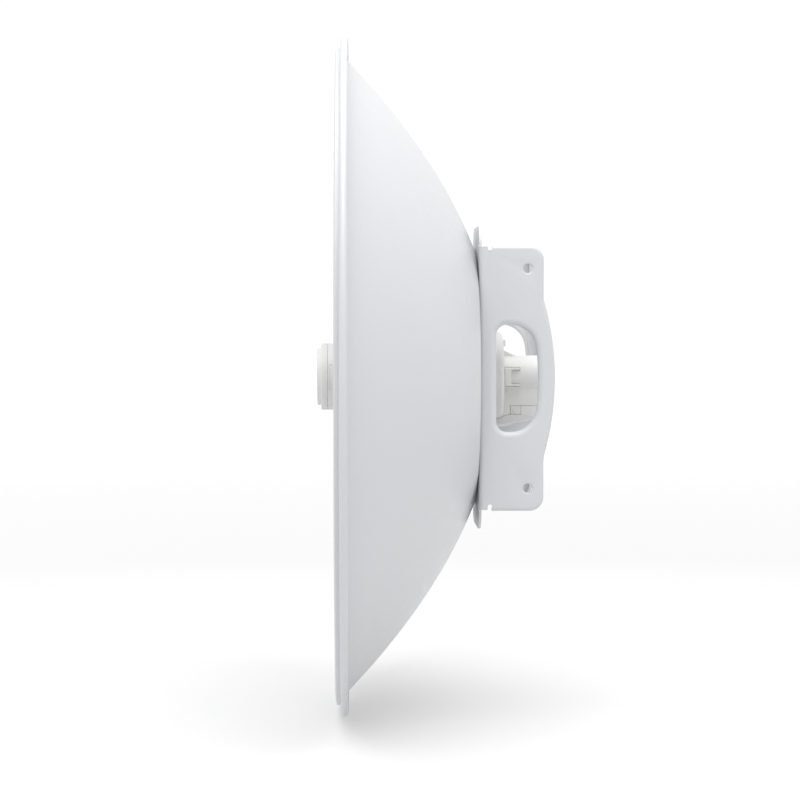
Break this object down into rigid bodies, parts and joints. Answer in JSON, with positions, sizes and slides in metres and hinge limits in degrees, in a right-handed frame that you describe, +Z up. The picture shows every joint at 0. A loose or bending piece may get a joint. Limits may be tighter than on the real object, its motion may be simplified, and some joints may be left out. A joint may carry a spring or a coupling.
{
  "type": "outdoor wireless bridge",
  "caption": "Point-to-point wireless bridge: rimmed dish, U bracket with hand windows, rear housing with slide-off port cover, plug-in feed.",
  "frame": {"origin": "on the axis of the lower bracket bolt, midway between the two side plates", "axes": "+X back along the boresight from the dish to the pole, +Y along the bolts, +Z up"},
  "size_m": [0.2237, 0.65, 0.65],
  "materials": {
    "reflector": "satin powder coat",
    "bracket": "satin powder coat",
    "zinc_steel": "zinc plated",
    "housing_plastic": "fine moulded texture",
    "feed_plastic": "fine moulded texture",
    "seal_rubber": "matt",
    "clear_plastic": "translucent",
    "bare_aluminium": "satin",
    "tinned_steel": "tinned",
    "brass": "turned",
    "board": "solder mask",
    "carrier_plastic": "moulded",
    "thermal_pad": "soft"
  },
  "bodies": {
    "dish": {"reflector": "reflector", "reflector_seat": "reflector", "reflector_well_upper_left": "reflector", "reflector_well_upper_right": "reflector", "reflector_well_lower_left": "reflector", "reflector_well_lower_right": "reflector", "bracket_base": "bracket", "bracket_side_left": "bracket", "bracket_side_right": "bracket", "carriage_bolts": "zinc_steel", "flange_nuts": "zinc_steel", "rear_housing": "housing_plastic", "housing_gasket": "seal_rubber", "housing_screws": "zinc_steel", "status_window": "clear_plastic"},
    "feed": {"feed_tube": "feed_plastic", "feed_rear_shell": "feed_plastic", "feed_front_shell": "feed_plastic", "head_seal": "seal_rubber", "sub_reflector": "bare_aluminium", "radiator": "board", "radiator_carrier": "carrier_plastic", "feed_probe": "brass", "feed_o_ring": "seal_rubber", "circuit_board": "board", "board_screws": "zinc_steel", "heat_spreader": "bare_aluminium", "thermal_pads": "thermal_pad", "shield_cans": "tinned_steel", "network_jack": "tinned_steel", "jack_seal": "seal_rubber", "reset_switch": "carrier_plastic", "light_guide": "clear_plastic", "tube_end_plug": "feed_plastic", "end_plug_screws": "zinc_steel"},
    "reset_button": {"reset_button": "carrier_plastic"},
    "port_cover": {"port_cover": "housing_plastic", "cable_grommet": "seal_rubber"},
    "cover_latch_left": {"cover_latch_left": "housing_plastic"},
    "cover_latch_right": {"cover_latch_right": "housing_plastic"},
    "release_clip_left": {"release_clip_left": "housing_plastic"},
    "release_clip_right": {"release_clip_right": "housing_plastic"}
  },
  "joints": [
    {"name": "feed_slide", "type": "slide", "parent": "dish", "child": "feed", "axis": [-1, 0, 0], "range_m": [0, 0.2]},
    {"name": "port_cover_slide", "type": "slide", "parent": "dish", "child": "port_cover", "axis": [0, 0, -1], "range_m": [0, 0.03]},
    {"name": "cover_latch_left_press", "type": "slide", "parent": "port_cover", "child": "cover_latch_left", "axis": [0, 1, 0], "range_m": [0, 0.001], "stiffness_N_per_m": 600},
    {"name": "cover_latch_right_press", "type": "slide", "parent": "port_cover", "child": "cover_latch_right", "axis": [0, -1, 0], "range_m": [0, 0.001], "stiffness_N_per_m": 600},
    {"name": "release_clip_left_press", "type": "slide", "parent": "dish", "child": "release_clip_left", "axis": [0, 1, 0], "range_m": [0, 0.0015], "stiffness_N_per_m": 800},
    {"name": "release_clip_right_press", "type": "slide", "parent": "dish", "child": "release_clip_right", "axis": [0, -1, 0], "range_m": [0, 0.0015], "stiffness_N_per_m": 800},
    {"name": "reset_button_press", "type": "slide", "parent": "feed", "child": "reset_button", "axis": [0, 0, 1], "range_m": [0, 0.0008], "stiffness_N_per_m": 500}
  ]
}
